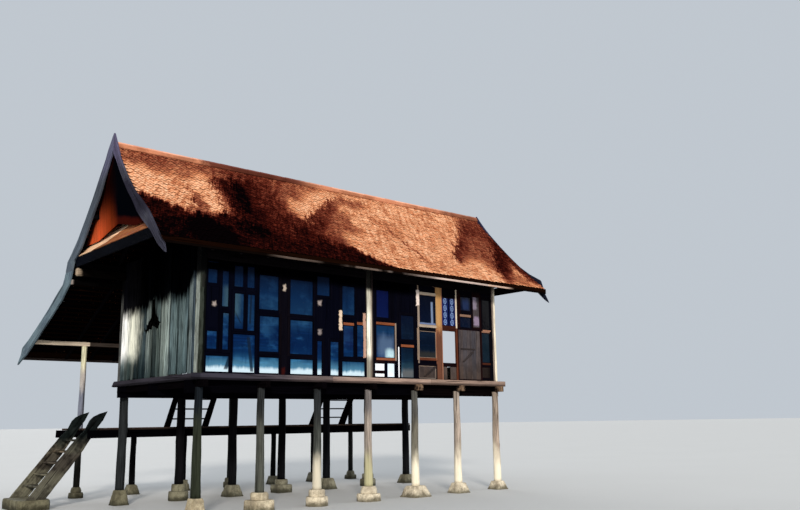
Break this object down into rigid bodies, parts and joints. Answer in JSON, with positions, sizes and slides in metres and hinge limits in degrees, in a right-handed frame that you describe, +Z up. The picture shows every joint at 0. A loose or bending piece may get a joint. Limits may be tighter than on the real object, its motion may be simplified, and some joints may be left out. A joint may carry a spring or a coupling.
{
  "type": "timber stilt house",
  "caption": "Timber stilt house with a glazed front, plank end walls, a low back verandah on posts, an open stair and a steep tiled gable roof with pointed bargeboards.",
  "frame": {"origin": "on the ground in the middle of the whole outline, verandah, stair and roof included", "axes": "+X along the glazed front wall to the right as seen from outside, +Y from the front towards the verandah, +Z up"},
  "size_m": [11.0484, 7.55, 7.25],
  "materials": {
    "base_stone": "rough cast blocks and worn stones, cream",
    "post_wood": "round timber, weathered grey",
    "dark_beam": "old hardwood, nearly black",
    "floor_wood": "plain boards, worn",
    "sill_wood": "planed board, weathered",
    "pale_wood": "sunlit bare timber",
    "frame_wood": "dark stained frames, matte",
    "brown_wood": "orange-brown stained boards",
    "grey_board": "weathered board panels",
    "wall_plank": "unpainted upright planks, bleached",
    "barge_wood": "weathered blue-grey boards",
    "roof_tile": "small flat clay tiles, unglazed",
    "ridge_tile": "mortared clay ridge",
    "glass": "old window glass, bluish"
  },
  "bodies": {
    "root": {"post_bases": "base_stone", "house_posts": "post_wood", "verandah_posts": "post_wood", "cross_beams": "dark_beam", "long_beams": "dark_beam", "floor_joists": "dark_beam", "floor_boards": "floor_wood", "sill_boards": "sill_wood", "verandah_beams": "dark_beam", "verandah_joists": "dark_beam", "verandah_floor": "floor_wood", "entry_stair_planks": "dark_beam", "entry_stair_treads": "dark_beam", "inner_stair_planks": "post_wood", "inner_stair_treads": "post_wood", "wall_posts": "pale_wood", "front_window_frames": "frame_wood", "open_window_frame": "brown_wood", "front_glass": "glass", "front_wall_panels": "grey_board", "front_wall_head": "dark_beam", "left_wall": "wall_plank", "right_wall": "wall_plank", "back_wall": "wall_plank", "back_wall_over_doors": "wall_plank", "back_window_frames": "brown_wood", "back_glass": "glass", "wall_plates": "dark_beam", "tie_beams": "dark_beam", "king_posts": "dark_beam", "ridge_beam": "dark_beam", "purlins": "dark_beam", "rafters": "dark_beam", "verandah_purlins": "pale_wood", "verandah_rafters": "dark_beam", "front_roof": "roof_tile", "back_roof": "roof_tile", "verandah_roof": "roof_tile", "ridge_cap": "ridge_tile", "left_bargeboards": "barge_wood", "right_bargeboards": "barge_wood", "gable_screens": "brown_wood", "gable_skirts": "pale_wood", "gable_bands": "barge_wood", "eave_boards": "pale_wood"}
  },
  "joints": []
}
